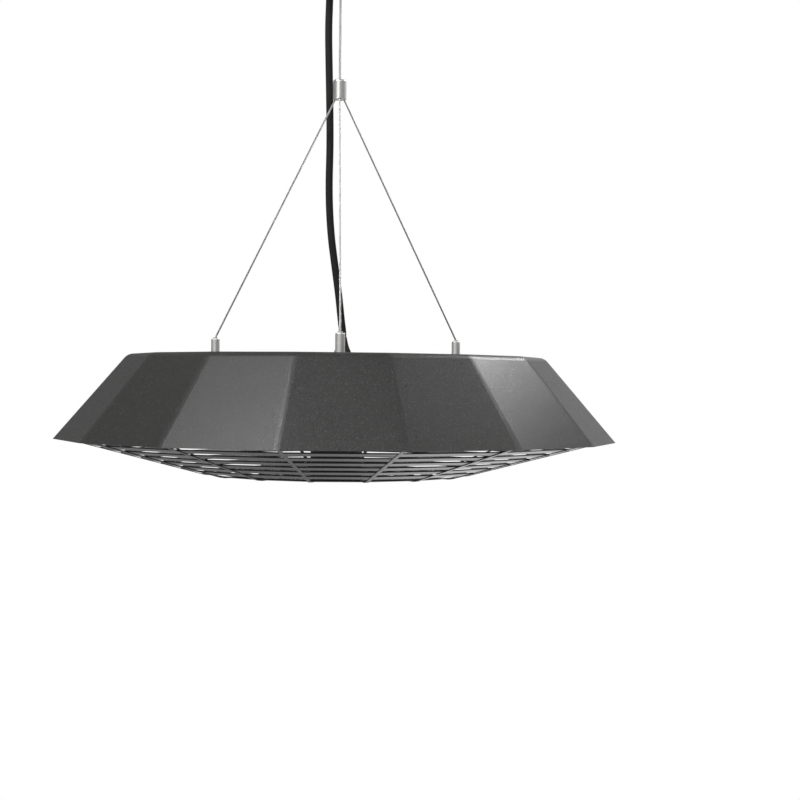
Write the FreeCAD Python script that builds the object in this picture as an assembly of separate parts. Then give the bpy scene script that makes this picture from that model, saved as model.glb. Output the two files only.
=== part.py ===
import FreeCAD, Part

import math
import os

# Infrared ceiling heater, hung on one steel rope that splits into three.
# Millimetres, +Z up, the front is -Y. The origin is the middle of the ceiling bracket's top
# face, so everything hangs below z = 0.

Vec = FreeCAD.Vector
UP = Vec(0, 0, 1)
FRONT = -90.0        # degrees about Z
NEAR = 0.01          # how close an edge lies to a level to count as on it

# Clearances
FIT = 0.1            # screwed, pressed and clamped pieces, each side
RUN = 0.3            # moving pieces, each side
PIN_FIT = 0.15       # hinge pin in its eye, each side

# Shade: a pressed steel pyramid with many facets and a flat top
SIDES = 16
RIM_R = 300.0        # rim, across a corner
TOP_R = 223.8        # top, across a corner, before rounding
SHADE_H = 89.3
SHADE_T = 1.2
CREASE_R = 25.0
TOP_ROUND = 13.0
HEM_W = 4.0          # lip turned in at the rim
HEM_T = 2.2

# Ceiling fitting
DROP = 470.0         # ceiling to the shade's flat top
BRACKET_GAP = 3.8    # inside the canopy's wall
BRACKET_T = 2.5
BOSS_R = 9.0
BOSS_L = 14.0
SCREW_EDGE = 11.0    # screw holes' middles to the bracket's edge
SCREW_HOLE_R = 2.6
SCREW_HOLES = 3
FIRST_SCREW = 90.0   # degrees about Z
CABLE_ENTRY_R = 7.0
CABLE_ENTRY_AT = (24.0, 18.0)
CANOPY_R = 54.0
CANOPY_H = 34.0
CANOPY_T = 1.2
CANOPY_ROUND = 7.0
CANOPY_GAP = 0.3     # under the ceiling plane

# Fork, pin and eye that the rope swings on
SHANK_R = 4.0
SHANK_END = 12.0     # below the ceiling
SHOULDER_R = 10.0
SHOULDER_T = 2.0
FORK_W = 14.0
CHEEK_T = 3.0
FORK_WEB = 7.0       # solid part above the slot
PIN_DROP = 16.0      # shoulder's underside to the pin
PIN_R = 2.5
PIN_HEAD_R = 4.2
PIN_HEAD_T = 1.8
PIN_TAIL = 3.0
CLIP_R = 4.0
CLIP_T = 0.8
EYE_R = 6.0
EYE_T = 6.0
FERRULE_R = 3.0
FERRULE_L = 22.0     # pin to the ferrule's end, less the eye
ROPE_IN = 12.0       # rope swaged into the ferrule

# Ropes
MAIN_R = 1.3
BRIDLE_R = 1.0
BRIDLE_BEND = 4.0
BEND_SINK = 0.3      # the bend's corner, below the nipple's top

# Coupler where one rope becomes three
COUPLER_R = 7.25
COUPLER_L = 21.3
COUPLER_UP = 278.0   # shade top to its lower end
COUPLER_SPLIT = 13.0
COUPLER_BORE = 5.6
COUPLER_FLOOR = 2.5
COUPLER_ROUND = 2.4
SPIGOT_L = 1.5
STOP_R = 3.0
STOP_L = 5.0
BALL_R = 1.8
BALL_AT_R = 3.1
BALL_AT_H = 4.5
NOTCH_R = 1.55

# Wire grippers on the shade's top
GRIP_CIRCLE_R = 158.0
GRIP_NAMES = ("front", "right", "left")
SLEEVE_R = 4.8
SLEEVE_H = 20.0
SLEEVE_ROUND = 1.0
SLEEVE_ROOF = 2.0
SLEEVE_T = 1.1
NIPPLE_R = 2.4
PRESS = 1.2          # how far the nipple presses in
NIPPLE_LEFT = 0.4    # how far it still stands out when pressed
COLLAR_GAP = 0.4     # round the nipple's collar
COLLAR_T = 2.0
BARREL_R = 2.0
BARREL_END = 9.0     # above the shade's top
MOUTH_DEPTH = 1.8
MOUTH_FLARE = 16.0   # degrees
STEM_HEAD_H = 4.0
STEM_R = 3.0
STEM_L = 10.0
NUT_AF = 10.0
NUT_H = 4.0
WIRE_TAIL = 16.0     # rope end below the shade's top

# Power cord and its grips
CORD_R = 4.0
CORD_EXIT = (6.2, 25.0)
CORD_IN = (-11.3, 21.0)
CORD_LEAD = 6.0      # straight run out of each grip
ARC_SHARE = 0.45     # of the shorter run beside a bend
GRIP_BASE_R = 11.5
GRIP_BASE_T = 1.6
GRIP_TIP_R = 4.5
GRIP_L = 22.0
CANOPY_GRIP_L = 14.0
GRIP_WAIST_SHARE = 0.55    # of the length, where the taper eases
GRIP_WAIST_R = 6.6
NECK_R = 6.0
BARB_R = 7.4
BARB_L = 3.8
BARB_TAPER = 1.4
# Route between the grips: x, y and share of the height between the two straight runs
CORD_POINTS = [
    (4.4, 25.0, 0.031),
    (1.5, 24.7, 0.101),
    (-3.0, 24.1, 0.183),
    (-8.2, 23.1, 0.279),
    (-10.7, 22.0, 0.397),
    (-9.6, 21.4, 0.526),
    (-10.5, 21.0, 0.650),
    (-11.7, 21.2, 0.758),
    (-12.6, 21.0, 0.856),
    (-11.6, 21.0, 0.939),
]

# Guard below the rim: flat rings welded to flat straps
STRAP_W = 4.0
STRAP_T = 0.6
FRAME_WIRE_R = 2.0
RING_W = 11.0
EDGE_RING_W = 7.0    # ring that lies in the straps' bend
RING_T = 1.2
WELD = 0.1           # depth that welded pieces sink into each other
GUARD_INSET = 12.0   # rim's corners to the straps' outside, where they cross the rim plane
GUARD_FLAT_R = 142.0
GUARD_DEPTH = 38.5
GUARD_BEND = 30.0
FRAME_INSET = 2.0    # frame's middle to the straps' outside in the rim plane
STRAP_END = 3.0      # straps run on past the frame's middle
HUB_GAP = 8.0        # pod to the middle of the smallest ring
RING_PITCH = 20.8

# Reflector, heat shield and what holds them
REFL_T = 0.8
REFL_GAP = 1.5       # corners of its edge to the shade's wall before rounding
REFL_FLANGE = 16.0   # guard frame to the foot of its side
REFL_SPREAD = 65.0   # foot to top, across a corner
SHIELD_UP = 14.0     # reflector's top to the shield
SHIELD_INSET = 19.0  # within the reflector's top
SHIELD_T = 0.8
STUD_R = 2.0
STUD_INSET = 31.0    # within the reflector's top
STUDS = 6
STUD_END = 5.0       # below the reflector's top
SPACER_R = 4.5
DOME_R = 4.0
DOME_BALL_R = 3.4
DOME_H = 5.5

# Heating tubes
TUBE_R = 6.0
TUBE_T = 1.0
TUBE_DROP = 26.0     # reflector's top to the middle of the rings
TUBE_RINGS = {"inner": 85.0, "outer": 145.0}
TUBE_END_X = 17.0    # ends stand this far each side of the middle
TUBE_BEND = 13.0
FILAMENT_R = 2.0
CAP_R = 10.0
CAP_FLANGE_R = 13.0
CAP_FLANGE_T = 3.0
CAP_DOWN = 7.0       # below the reflector's top
CAP_UP = 12.0        # above it
CAP_SEAT_UP = 6.0    # where the tube's end stops
CLIP_SPREAD = 80.0   # degrees between clips
CLIP_WALL = 1.0
CLIP_W = 8.0
CLIP_FOOT = 18.0

# Light and receiver pod in the middle
POD_R = 28.0
POD_T = 2.0
POD_SHY = 2.5        # its lower end above the guard's underside
POD_FLANGE_W = 8.0
POD_FLANGE_T = 2.0
POD_ROOF = 4.0
POD_NECK_R = 14.0
POD_NECK_L = 9.0
POD_BORE_R = 6.0
POD_NUT_R = 21.0
POD_NUT_T = 5.0
LEDGE_W = 3.0
LEDGE_T = 2.0
LIGHT_BOARD_T = 1.6
LIGHT_BOARD_UP = 12.0    # its underside above the pod's lower end
LED_SIDE = 3.6
LED_T = 0.9
LED_CIRCLE_R = 17.0
LEDS = 12
LENS_T = 2.0
WINDOW_R = 5.0
WINDOW_PROUD = 1.0
WINDOW_FLANGE = 2.0
WINDOW_FLANGE_T = 1.2
SENSOR = (6.0, 7.0, 5.0)

# Controls above the heat shield
BOARD = (80.0, 104.0, 1.6)
BOARD_AT = (-64.0, -6.0)
BOARD_UP = 6.0
BOARD_SPACER_R = 3.0
BOARD_INSET = 6.0
RELAY = (20.0, 16.0, 13.0)
RELAY_PITCH = 26.0
RELAYS = 3
RELAY_GAP = 2.7      # relays to the shade's roof
BLOCK = (64.0, 20.0, 16.0)
BLOCK_WAYS = 5
WELL_R = 2.4
WELL_DEPTH = 4.5
GROOVE_W = 1.2
GROOVE_DEPTH = 3.5
CUTOUT_R = 8.0
CUTOUT_H = 6.0
CUTOUT_AT = (66.0, -40.0)
CUTOUT_TAB = (3.0, 6.3, 0.8)
LEAD_R = 1.2
LEAD_HOLE_R = 4.0
LEAD_UP = 8.5        # element leads above the heat shield
SUPPLY_UP = 12.3
SUPPLY_PITCH = 4.0
POD_CABLE_R = 2.2
POD_CABLE_UP = 15.0
POD_CABLE_INSET = 12.0   # from the board's edge
CEILING_BLOCK = (24.0, 16.0, 13.0)
CEILING_BLOCK_WAYS = 3
CEILING_BLOCK_AT = (-29.0, 9.0)

# Guard clips
CLIP_COUNT = 8
GUARD_CLIP_W = 14.0
GUARD_CLIP_T = 1.2
GUARD_CLIP_FOOT = 9.0
GUARD_CLIP_LIP = 6.5
SCREW_R = 2.0
SCREW_HEAD_R = 3.4
SCREW_HEAD_T = 2.2
SCREW_NUT_AF = 7.0
SCREW_NUT_H = 3.0
SCREW_TAIL = 1.0

# Levels that follow from the sizes
TOP_Z = -DROP
RIM_Z = TOP_Z - SHADE_H
ROOF_H = SHADE_H - SHADE_T
SHIELD_TOP_H = ROOF_H - RELAY_GAP - RELAY[2] - BOARD[2] - BOARD_UP
SHIELD_H = SHIELD_TOP_H - SHIELD_T
REFL_TOP_H = SHIELD_H - SHIELD_UP
STUD_END_H = REFL_TOP_H - STUD_END
TUBE_H = REFL_TOP_H - TUBE_DROP
CAP_LOW_H = REFL_TOP_H - CAP_DOWN
CAP_TOP_H = REFL_TOP_H + CAP_UP
CAP_SEAT_H = REFL_TOP_H + CAP_SEAT_UP
POD_LOW_H = POD_SHY - GUARD_DEPTH
CANOPY_LOW_Z = -CANOPY_GAP - CANOPY_H
FORK_Z = CANOPY_LOW_Z - SHOULDER_T
PIN_Z = FORK_Z - PIN_DROP
FERRULE_END_Z = PIN_Z - EYE_R - FERRULE_L
COUPLER_Z = TOP_Z + COUPLER_UP
COUPLER_TOP_Z = COUPLER_Z + COUPLER_L
NIPPLE_PROUD = PRESS + NIPPLE_LEFT
BEND_Z = TOP_Z + SLEEVE_H + NIPPLE_PROUD - BEND_SINK

# Places and angles that follow from the sizes
BRACKET_R = CANOPY_R - CANOPY_T - BRACKET_GAP
SCREW_CIRCLE_R = BRACKET_R - SCREW_EDGE
FORK_GAP = EYE_T + 2 * RUN
CAVITY_R = SLEEVE_R - SLEEVE_T
COLLAR_R = CAVITY_R - COLLAR_GAP
GUARD_R = RIM_R - GUARD_INSET
FRAME_R = GUARD_R - FRAME_INSET
STRAP_OUT_R = FRAME_R + STRAP_END
HUB_R = POD_R + HUB_GAP
REFL_FOOT_R = FRAME_R - REFL_FLANGE
REFL_TOP_R = REFL_FOOT_R - REFL_SPREAD
SHIELD_R = REFL_TOP_R - SHIELD_INSET
STUD_CIRCLE_R = REFL_TOP_R - STUD_INSET
POD_FLANGE_R = POD_R + POD_FLANGE_W
BLOCK_Y = sum(TUBE_RINGS.values()) / len(TUBE_RINGS)
POD_CABLE_X = BOARD_AT[0] + BOARD[0] / 2 - POD_CABLE_INSET
GRIP_ANGLES = {name: FRONT + 360.0 / len(GRIP_NAMES) * k for k, name in enumerate(GRIP_NAMES)}
CLIP_ANGLES = (FRONT - CLIP_SPREAD, FRONT, FRONT + CLIP_SPREAD)
HALF_SIDE = math.pi / SIDES
GUARD_SLOPE = math.atan2(GUARD_DEPTH, GUARD_R - GUARD_FLAT_R)
HALF_SLOPE = GUARD_SLOPE / 2


def at(radius, angle, z):
    """Point on a circle about the Z axis, with the angle in degrees."""
    turn = math.radians(angle)
    return Vec(radius * math.cos(turn), radius * math.sin(turn), z)


def rim(height):
    """Z of a height given above the shade's rim plane."""
    return RIM_Z + height


def cylinder(radius, low, high, x=0.0, y=0.0):
    return Part.makeCylinder(radius, high - low, Vec(x, y, low))


def tube(outer, inner, low, high, x=0.0, y=0.0):
    return cylinder(outer, low, high, x, y).cut(cylinder(inner, low, high, x, y))


def box(size, middle, low):
    """Upright block of a size, from the middle of its foot."""
    corner = Vec(middle[0] - size[0] / 2, middle[1] - size[1] / 2, low)
    return Part.makeBox(size[0], size[1], size[2], corner)


def hexagon(across, low, high, x=0.0, y=0.0):
    corner = across / 2 / math.cos(math.pi / 6)
    points = [Vec(x, y, low) + at(corner, 60 * k, 0) for k in range(7)]
    return Part.Face(Part.makePolygon(points)).extrude(UP * (high - low))


def turned(profile):
    """Solid of revolution about Z from (radius, z) corners."""
    points = [Vec(r, 0, z) for r, z in profile + profile[:1]]
    return Part.Face(Part.makePolygon(points)).revolve(Vec(0, 0, 0), UP, 360)


def level_edges(shape, z):
    """Edges that lie wholly at one level."""
    boxes = [(e, e.BoundBox) for e in shape.Edges]
    return [e for e, b in boxes if abs(b.ZMin - z) < NEAR and abs(b.ZMax - z) < NEAR]


def facet_wire(corner_r, z):
    """The shade's polygon at one level, with a side facing the front."""
    step = 360.0 / SIDES
    return Part.makePolygon([at(corner_r, FRONT + (k + 0.5) * step, z) for k in range(SIDES + 1)])


def facet_prism(corner_r, low, high):
    return Part.Face(facet_wire(corner_r, low)).extrude(UP * (high - low))


def pyramid(low_r, low, high_r, high):
    return Part.makeLoft([facet_wire(low_r, low), facet_wire(high_r, high)], True, True)


def rounded_pyramid(low_r, low, high_r, high, crease, top):
    """Pyramid with soft creases and a soft top edge."""
    body = pyramid(low_r, low, high_r, high)
    body = body.makeFillet(crease, [e for e in body.Edges if e.BoundBox.ZLength > NEAR])
    return body.makeFillet(top, level_edges(body, high))


def routed(points):
    """Straight runs joined by tangent arcs, each as large as its shorter run allows."""
    edges = []
    radii = []
    start = points[0]
    for before, corner, after in zip(points, points[1:], points[2:]):
        way_in = (corner - before).normalize()
        way_out = (after - corner).normalize()
        half = way_in.getAngle(way_out) / 2
        tangent = ARC_SHARE * min((corner - before).Length, (after - corner).Length)
        radius = tangent / math.tan(half)
        first = corner - way_in * tangent
        last = corner + way_out * tangent
        inward = (way_out - way_in).normalize()
        middle = corner + inward * (radius / math.cos(half) - radius)
        edges.append(Part.LineSegment(start, first).toShape())
        edges.append(Part.Arc(first, middle, last).toShape())
        radii.append(radius)
        start = last
    edges.append(Part.LineSegment(start, points[-1]).toShape())
    return Part.Wire(edges), radii


def swept(wire, radius):
    """Round bar along a wire."""
    edge = wire.Edges[0]
    start = edge.valueAt(edge.FirstParameter)
    heading = edge.tangentAt(edge.FirstParameter)
    section = Part.Wire(Part.makeCircle(radius, start, heading))
    return Part.Solid(wire.makePipeShell([section], True, False))


def report_sweep(name, solid, wire, radius, radii):
    expected = math.pi * radius ** 2 * wire.Length
    print(name, "length", round(wire.Length, 2), "volume over section times length",
          round(solid.Volume / expected, 5), "bend radii", [round(r, 1) for r in radii])


def save(name, *solids):
    shape = solids[0] if len(solids) == 1 else Part.makeCompound(list(solids))
    if not shape.isValid():
        print("not valid:", name)
    shape.exportStep(f"parts/{name}.step")


def around(count, first=0.0):
    return [first + 360.0 * k / count for k in range(count)]


def spun(shape, angle):
    """Copy of a shape turned about the Z axis."""
    copy = shape.copy()
    copy.rotate(Vec(0, 0, 0), UP, angle)
    return copy


# Ceiling fitting

def ceiling_bracket():
    plate = cylinder(BRACKET_R, -BRACKET_T, 0)
    plate = plate.fuse(cylinder(BOSS_R, -BRACKET_T - BOSS_L, -BRACKET_T))
    plate = plate.cut(cylinder(SHANK_R + FIT, -BRACKET_T - BOSS_L, -SHANK_END + FIT))
    plate = plate.cut(cylinder(CABLE_ENTRY_R, -BRACKET_T, 0, *CABLE_ENTRY_AT))
    for angle in around(SCREW_HOLES, FIRST_SCREW):
        spot = at(SCREW_CIRCLE_R, angle, 0)
        plate = plate.cut(cylinder(SCREW_HOLE_R, -BRACKET_T, 0, spot.x, spot.y))
    save("ceiling_bracket", plate.removeSplitter())


def rounded_cup(radius, low, high, rounding):
    cup = cylinder(radius, low, high)
    return cup.makeFillet(rounding, level_edges(cup, low))


def canopy_cup():
    outside = rounded_cup(CANOPY_R, CANOPY_LOW_Z, -CANOPY_GAP, CANOPY_ROUND)
    inside = rounded_cup(CANOPY_R - CANOPY_T, CANOPY_LOW_Z + CANOPY_T, 0, CANOPY_ROUND - CANOPY_T)
    cup = outside.cut(inside)
    cup = cup.cut(cylinder(SHANK_R + FIT, CANOPY_LOW_Z, CANOPY_LOW_Z + CANOPY_T))
    cup = cup.cut(cylinder(NECK_R + FIT, CANOPY_LOW_Z, CANOPY_LOW_Z + CANOPY_T, *CORD_IN))
    save("canopy_cup", cup)


def across_y(radius, length, z):
    """Round bar along Y through the swing axis, centred front to back."""
    return Part.makeCylinder(radius, length, Vec(0, -length / 2, z), Vec(0, 1, 0))


def hanger_fork():
    depth = FORK_GAP + 2 * CHEEK_T
    low = PIN_Z - FORK_W / 2
    fork = box((FORK_W, depth, FORK_Z - PIN_Z), (0, 0), PIN_Z)
    fork = fork.fuse(across_y(FORK_W / 2, depth, PIN_Z))
    slot = (FORK_W, FORK_GAP, FORK_Z - FORK_WEB - low)
    fork = fork.cut(box(slot, (0, 0), low))
    fork = fork.cut(across_y(PIN_R + FIT, depth, PIN_Z))
    fork = fork.fuse(cylinder(SHOULDER_R, FORK_Z, CANOPY_LOW_Z))
    fork = fork.fuse(cylinder(SHANK_R, CANOPY_LOW_Z, -SHANK_END))
    save("hanger_fork", fork.removeSplitter())


def fork_pin():
    front = -FORK_GAP / 2 - CHEEK_T
    length = FORK_GAP + 2 * CHEEK_T + CLIP_T + PIN_TAIL
    along = Vec(0, 1, 0)
    pin = Part.makeCylinder(PIN_R, length, Vec(0, front, PIN_Z), along)
    head = Part.makeCylinder(PIN_HEAD_R, PIN_HEAD_T, Vec(0, front - PIN_HEAD_T, PIN_Z), along)
    save("fork_pin", pin.fuse(head).removeSplitter())
    back = Vec(0, -front, PIN_Z)
    clip = Part.makeCylinder(CLIP_R, CLIP_T, back, along)
    clip = clip.cut(Part.makeCylinder(PIN_R + FIT, CLIP_T, back, along))
    gap = Part.makeBox(2 * PIN_R, CLIP_T, CLIP_R, back - Vec(PIN_R, 0, CLIP_R))
    save("pin_clip", clip.cut(gap))


def cord_grip(sheet, length):
    """Tapered strain relief that snaps into a sheet from above, with its tip up."""
    return turned([
        (0.0, -sheet - BARB_L),
        (BARB_R - BARB_TAPER, -sheet - BARB_L),
        (BARB_R, -sheet),
        (NECK_R, -sheet),
        (NECK_R, 0.0),
        (GRIP_BASE_R, 0.0),
        (GRIP_BASE_R, GRIP_BASE_T),
        (GRIP_WAIST_R, GRIP_WAIST_SHARE * length),
        (GRIP_TIP_R, length),
        (0.0, length),
    ])


def terminal_block(size, middle, low, ways):
    """Moulded block with a screw well over each way and a groove between ways."""
    block = box(size, middle, low)
    high = low + size[2]
    pitch = size[0] / ways
    first = middle[0] - (ways - 1) / 2 * pitch
    for k in range(ways):
        well = cylinder(WELL_R, high - WELL_DEPTH, high, first + k * pitch, middle[1])
        block = block.cut(well)
    for k in range(ways - 1):
        between = (first + (k + 0.5) * pitch, middle[1])
        block = block.cut(box((GROOVE_W, size[1], GROOVE_DEPTH), between, high - GROOVE_DEPTH))
    return block


def ceiling_terminal_block():
    low = -BRACKET_T - CEILING_BLOCK[2]
    save("ceiling_terminal_block",
         terminal_block(CEILING_BLOCK, CEILING_BLOCK_AT, low, CEILING_BLOCK_WAYS))


# Ropes, coupler and grippers

def eye_terminal():
    eye = across_y(EYE_R, EYE_T, PIN_Z)
    eye = eye.fuse(cylinder(FERRULE_R, FERRULE_END_Z, PIN_Z))
    eye = eye.cut(across_y(PIN_R + PIN_FIT, FORK_GAP, PIN_Z))
    eye = eye.cut(cylinder(MAIN_R, FERRULE_END_Z, FERRULE_END_Z + ROPE_IN))
    save("eye_terminal", eye.removeSplitter())


def main_wire():
    low = COUPLER_Z + COUPLER_SPLIT - SPIGOT_L - STOP_L
    save("main_wire", cylinder(MAIN_R, low, FERRULE_END_Z + ROPE_IN))


def bridle_points(angle):
    """A leg from its tail under the shade's top, through the gripper, to the coupler."""
    return [
        at(GRIP_CIRCLE_R, angle, TOP_Z - WIRE_TAIL),
        at(GRIP_CIRCLE_R, angle, BEND_Z),
        at(BALL_AT_R, angle, COUPLER_Z + BALL_AT_H),
    ]


def coupler():
    split = COUPLER_Z + COUPLER_SPLIT
    floor = COUPLER_Z + COUPLER_FLOOR
    body = cylinder(COUPLER_R, COUPLER_Z, split).cut(cylinder(COUPLER_BORE, floor, split))
    for angle in GRIP_ANGLES.values():
        _, bend, ball = bridle_points(angle)
        body = body.cut(Part.makeCylinder(NOTCH_R, 2 * COUPLER_R, ball, bend - ball))
    save("coupler_body", body)
    cap = cylinder(COUPLER_R, split, COUPLER_TOP_Z)
    cap = cap.makeFillet(COUPLER_ROUND, level_edges(cap, COUPLER_TOP_Z))
    cap = cap.fuse(cylinder(COUPLER_BORE - FIT, split - SPIGOT_L, split))
    cap = cap.cut(cylinder(MAIN_R + FIT, split - SPIGOT_L, COUPLER_TOP_Z))
    save("coupler_cap", cap.removeSplitter())
    stops = [tube(STOP_R, MAIN_R, split - SPIGOT_L - STOP_L, split - SPIGOT_L)]
    stops += [Part.makeSphere(BALL_R, bridle_points(angle)[2]) for angle in GRIP_ANGLES.values()]
    save("coupler_stops", *stops)


def bridle_wires():
    for name, angle in GRIP_ANGLES.items():
        tail, bend, ball = bridle_points(angle)
        slant = (ball - bend).normalize()
        half = slant.getAngle(UP) / 2
        tangent = BRIDLE_BEND * math.tan(half)
        first = bend - UP * tangent
        last = bend + slant * tangent
        inward = (slant - UP).normalize()
        middle = bend + inward * (BRIDLE_BEND / math.cos(half) - BRIDLE_BEND)
        wire = Part.Wire([
            Part.LineSegment(tail, first).toShape(),
            Part.Arc(first, middle, last).toShape(),
            Part.LineSegment(last, ball).toShape(),
        ])
        leg = swept(wire, BRIDLE_R)
        report_sweep("bridle_wire_" + name, leg, wire, BRIDLE_R, [BRIDLE_BEND])
        save("bridle_wire_" + name, leg)


def gripper_sleeve():
    sleeve = cylinder(SLEEVE_R, 0, SLEEVE_H)
    sleeve = sleeve.makeFillet(SLEEVE_ROUND, level_edges(sleeve, SLEEVE_H))
    sleeve = sleeve.cut(cylinder(CAVITY_R, 0, SLEEVE_H - SLEEVE_ROOF))
    return sleeve.cut(cylinder(NIPPLE_R + RUN, SLEEVE_H - SLEEVE_ROOF, SLEEVE_H))


def gripper_plunger():
    roof = SLEEVE_H - SLEEVE_ROOF - FIT
    high = SLEEVE_H + NIPPLE_PROUD
    bore = BRIDLE_R + RUN
    mouth = bore + MOUTH_DEPTH * math.tan(math.radians(MOUTH_FLARE))
    return turned([
        (bore, BARREL_END),
        (BARREL_R, BARREL_END),
        (BARREL_R, roof - COLLAR_T),
        (COLLAR_R, roof - COLLAR_T),
        (COLLAR_R, roof),
        (NIPPLE_R, roof),
        (NIPPLE_R, high),
        (mouth, high),
        (bore, high - MOUTH_DEPTH),
    ])


def gripper_stem():
    stem = cylinder(CAVITY_R - FIT, 0, STEM_HEAD_H).fuse(cylinder(STEM_R, -STEM_L, 0))
    return stem.cut(cylinder(BRIDLE_R + FIT, -STEM_L, STEM_HEAD_H)).removeSplitter()


def gripper_nut():
    nut = hexagon(NUT_AF, -SHADE_T - NUT_H, -SHADE_T)
    return nut.cut(cylinder(STEM_R + FIT / 2, -SHADE_T - NUT_H, -SHADE_T))


def grippers():
    stems = []
    nuts = []
    collar_low = SLEEVE_H - SLEEVE_ROOF - FIT - COLLAR_T
    spring = tube(COLLAR_R - FIT, BARREL_R + RUN, STEM_HEAD_H, collar_low)
    for name, angle in GRIP_ANGLES.items():
        place = at(GRIP_CIRCLE_R, angle, TOP_Z)
        save("gripper_sleeve_" + name, gripper_sleeve().translated(place))
        save("gripper_plunger_" + name, gripper_plunger().translated(place))
        save("gripper_spring_" + name, spring.translated(place))
        stems.append(gripper_stem().translated(place))
        nuts.append(gripper_nut().translated(place))
    save("gripper_stems", *stems)
    save("gripper_nuts", *nuts)


# Power cord

def power_cord():
    low = Vec(*CORD_EXIT, TOP_Z + GRIP_L + CORD_LEAD)
    high = Vec(*CORD_IN, CANOPY_LOW_Z - CANOPY_GRIP_L - CORD_LEAD)
    lead = UP * CORD_LEAD
    between = [Vec(x, y, low.z + (high.z - low.z) * share) for x, y, share in CORD_POINTS]
    wire, radii = routed([low - lead, low] + between + [high, high + lead])
    cord = swept(wire, CORD_R)
    report_sweep("power_cord", cord, wire, CORD_R, radii)
    save("power_cord", cord)
    save("cord_grip", cord_grip(SHADE_T, GRIP_L).translated(Vec(*CORD_EXIT, TOP_Z)))
    hanging = cord_grip(CANOPY_T, CANOPY_GRIP_L)
    hanging.rotate(Vec(0, 0, 0), Vec(1, 0, 0), 180)
    save("canopy_cord_grip", hanging.translated(Vec(*CORD_IN, CANOPY_LOW_Z)))


# Shade and what hangs inside it

def wall_offset():
    """Corner radius that a wall takes off, level with the rim."""
    lean = math.atan2((RIM_R - TOP_R) * math.cos(HALF_SIDE), SHADE_H)
    return SHADE_T / math.cos(lean) / math.cos(HALF_SIDE)


def shade_corner(height):
    """Outer corner radius of the shade at a height above the rim."""
    return RIM_R - (RIM_R - TOP_R) * height / SHADE_H


def shade():
    outside = rounded_pyramid(RIM_R, RIM_Z, TOP_R, TOP_Z, CREASE_R, TOP_ROUND)
    off = wall_offset()
    inside = rounded_pyramid(
        shade_corner(HEM_T) - off, rim(HEM_T), shade_corner(ROOF_H) - off, rim(ROOF_H),
        CREASE_R - SHADE_T, TOP_ROUND - SHADE_T)
    shell = outside.cut(inside)
    shell = shell.cut(facet_prism(RIM_R - HEM_W, RIM_Z, rim(HEM_T)))
    for angle in GRIP_ANGLES.values():
        spot = at(GRIP_CIRCLE_R, angle, 0)
        shell = shell.cut(cylinder(STEM_R + FIT, rim(ROOF_H), TOP_Z, spot.x, spot.y))
    shell = shell.cut(cylinder(NECK_R + FIT, rim(ROOF_H), TOP_Z, *CORD_EXIT))
    save("shade", shell)


def tube_ends(ring_r):
    """The two places where a heating tube turns up, left and right of the back."""
    y = math.sqrt(ring_r ** 2 + TUBE_BEND ** 2 - TUBE_END_X ** 2)
    return [(-TUBE_END_X, y), (TUBE_END_X, y)]


def reflector():
    foot = guard_top()
    outside = pyramid(REFL_FOOT_R, foot, REFL_TOP_R, rim(REFL_TOP_H))
    edge_r = shade_corner(foot + REFL_T - RIM_Z) - wall_offset() - REFL_GAP
    edge = facet_prism(edge_r, foot, foot + REFL_T)
    lean = math.atan2((REFL_FOOT_R - REFL_TOP_R) * math.cos(HALF_SIDE), rim(REFL_TOP_H) - foot)
    off = REFL_T / math.cos(lean) / math.cos(HALF_SIDE)
    top_off = off - REFL_T * (REFL_FOOT_R - REFL_TOP_R) / (rim(REFL_TOP_H) - foot)
    inside = pyramid(REFL_FOOT_R - off, foot, REFL_TOP_R - top_off, rim(REFL_TOP_H) - REFL_T)
    pan = outside.fuse(edge).cut(inside).removeSplitter()
    low, high = rim(REFL_TOP_H) - REFL_T, rim(REFL_TOP_H)
    for angle in around(STUDS):
        spot = at(STUD_CIRCLE_R, angle, 0)
        pan = pan.cut(cylinder(STUD_R + FIT, low, high, spot.x, spot.y))
    for ring_r in TUBE_RINGS.values():
        for x, y in tube_ends(ring_r):
            pan = pan.cut(cylinder(CAP_R + FIT, low, high, x, y))
    pan = pan.cut(cylinder(POD_NECK_R + FIT, low, high))
    for x, y in guard_screw_spots():
        pan = pan.cut(cylinder(SCREW_R + FIT, foot, foot + REFL_T, x, y))
    save("reflector", pan)


def heat_shield():
    low, high = rim(SHIELD_H), rim(SHIELD_TOP_H)
    plate = cylinder(SHIELD_R, low, high)
    for angle in around(STUDS):
        spot = at(STUD_CIRCLE_R, angle, 0)
        plate = plate.cut(cylinder(STUD_R + FIT, low, high, spot.x, spot.y))
    for ring_r in TUBE_RINGS.values():
        for x, y in tube_ends(ring_r):
            plate = plate.cut(cylinder(LEAD_HOLE_R, low, high, x, y))
    plate = plate.cut(cylinder(POD_BORE_R, low, high))
    save("heat_shield", plate)


def studs_and_spacers():
    spots = [at(STUD_CIRCLE_R, angle, 0) for angle in around(STUDS)]
    bore = STUD_R + FIT
    under = rim(REFL_TOP_H) - REFL_T
    stud = cylinder(STUD_R, rim(STUD_END_H), rim(ROOF_H))
    upper = tube(SPACER_R, bore, rim(SHIELD_TOP_H), rim(ROOF_H))
    lower = tube(SPACER_R, bore, rim(REFL_TOP_H), rim(SHIELD_H))
    waist = under - DOME_H / 2
    nut = hexagon(2 * DOME_R * math.cos(math.pi / 6), waist, under)
    dome = Part.makeSphere(DOME_BALL_R, Vec(0, 0, waist))
    nut = nut.fuse(dome.common(cylinder(DOME_R, under - DOME_H, waist)))
    nut = nut.cut(cylinder(bore, rim(STUD_END_H) - FIT, under)).removeSplitter()
    save("mounting_studs", *[stud.translated(p) for p in spots])
    save("upper_spacers", *[upper.translated(p) for p in spots])
    save("lower_spacers", *[lower.translated(p) for p in spots])
    save("reflector_nuts", *[nut.translated(p) for p in spots])


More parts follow.
